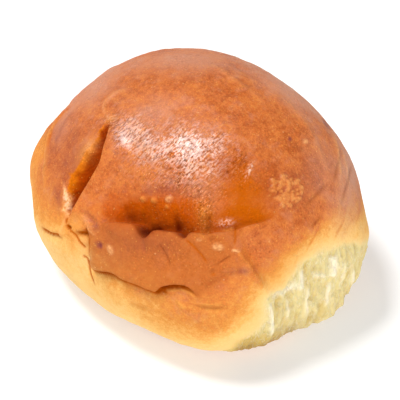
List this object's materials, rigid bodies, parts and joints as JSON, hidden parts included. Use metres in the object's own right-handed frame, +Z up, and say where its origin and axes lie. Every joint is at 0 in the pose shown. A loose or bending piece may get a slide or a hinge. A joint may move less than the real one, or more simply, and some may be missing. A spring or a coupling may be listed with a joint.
{
  "type": "bread roll",
  "caption": "Soft, glossy, dome-shaped bread roll with a folded and split crust at the front and a pale torn crumb face at one end; for serving and table settings.",
  "frame": {"origin": "on the flat base, below the middle of the roll", "axes": "+Z up, +X along the roll's long axis towards the torn end, +Y towards the smooth back"},
  "size_m": [0.0913, 0.0738, 0.0583],
  "materials": {
    "crust": "golden-brown baked crust with a soft egg-wash gloss on the dome, paler and matt low down, cream torn crumb"
  },
  "bodies": {
    "root": {"bread_roll": "crust"}
  },
  "joints": []
}
